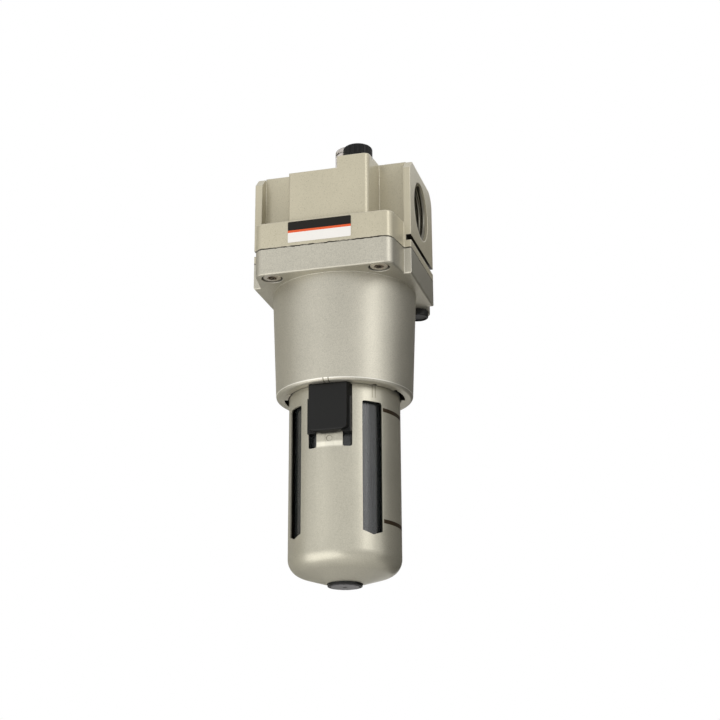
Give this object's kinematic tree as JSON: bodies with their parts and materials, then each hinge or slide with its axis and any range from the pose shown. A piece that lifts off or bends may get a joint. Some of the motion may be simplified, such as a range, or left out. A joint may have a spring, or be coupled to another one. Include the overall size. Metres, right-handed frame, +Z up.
{
  "type": "air line lubricator",
  "caption": "In-line oil lubricator for compressed air: cast body with two threaded ports, drum, bayonet bowl guard with a clear bowl, lock button, sight dome, filler plug and drain.",
  "frame": {"origin": "centre of the inlet port's mouth, on the inlet face of the body", "axes": "+X with the air, from the inlet port to the outlet port; +Z up, away from the bowl; the label and the lock button face -Y"},
  "size_m": [0.09, 0.0903, 0.2519],
  "materials": {
    "body_paint": "satin champagne paint on die cast aluminium",
    "bonnet_paint": "satin metallic paint on die cast aluminium",
    "guard_paint": "satin metallic paint on pressed sheet",
    "black_moulding": "fine grained black moulding",
    "grey_moulding": "grey moulding",
    "clear_bowl": "clear polycarbonate",
    "clear_dome": "clear polycarbonate",
    "seal_rubber": "matt nitrile rubber",
    "screw_steel": "plated steel",
    "brass_fittings": "turned brass",
    "sintered_bronze": "sintered bronze grains",
    "siphon_nylon": "natural nylon tube",
    "label_film": "printed label film"
  },
  "bodies": {
    "housing": {"body": "body_paint", "bonnet": "bonnet_paint", "bonnet_seal": "seal_rubber", "flange_screws": "screw_steel", "rear_screw_caps": "black_moulding", "nameplate": "label_film", "sight_dome": "clear_dome", "dome_seal": "seal_rubber", "needle_seal": "seal_rubber", "drip_nozzle": "brass_fittings", "siphon_adapter": "brass_fittings", "siphon_tube": "siphon_nylon", "siphon_filter": "sintered_bronze", "venturi_ring": "grey_moulding", "flow_damper": "seal_rubber", "venturi_clip": "screw_steel"},
    "bowl_unit": {"bowl_guard": "guard_paint", "bowl": "clear_bowl", "bowl_seal": "seal_rubber", "drain_housing": "black_moulding", "drain_gasket": "seal_rubber", "drain_nut": "brass_fittings", "drain_seal": "seal_rubber"},
    "lock_button": {"lock_button": "black_moulding"},
    "drain_knob": {"drain_knob": "grey_moulding"},
    "filler_seal": {"filler_plug_seal": "seal_rubber"},
    "filler_plug": {"filler_plug": "black_moulding"},
    "feed_needle": {"feed_needle": "brass_fittings"},
    "check_ball": {"check_ball": "screw_steel"}
  },
  "joints": [
    {"name": "bowl_turn", "type": "hinge", "parent": "housing", "child": "bowl_unit", "pos_m": [0.045, 0, -0.107], "axis": [0, 0, 1], "range_deg": [-45, 0]},
    {"name": "lock_slide", "type": "slide", "parent": "bowl_unit", "child": "lock_button", "axis": [0, 0, -1], "range_m": [0, 0.0064], "stiffness_N_per_m": 400, "springref_m": -0.002},
    {"name": "drain_turn", "type": "hinge", "parent": "bowl_unit", "child": "drain_knob", "pos_m": [0.045, 0, -0.209], "axis": [0, 0, -1], "range_deg": [0, 360]},
    {"name": "filler_rise", "type": "slide", "parent": "housing", "child": "filler_seal", "axis": [0, 0, 1], "range_m": [0, 0.0106]},
    {"name": "filler_turn", "type": "hinge", "parent": "filler_seal", "child": "filler_plug", "pos_m": [0.0622, -0.0332, 0.0197], "axis": [0, 0, 1], "range_deg": [0, 2520]},
    {"name": "feed_turn", "type": "hinge", "parent": "housing", "child": "feed_needle", "pos_m": [0.051, -0.008, 0.0392], "axis": [0, 0, 1], "range_deg": [-180, 180]},
    {"name": "ball_lift", "type": "slide", "parent": "housing", "child": "check_ball", "axis": [0, 0, 1], "range_m": [0, 0.0008]}
  ],
  "couplings": [
    {"joint": "filler_rise", "follows": "filler_turn", "m_per_rad": 0.00023873}
  ]
}
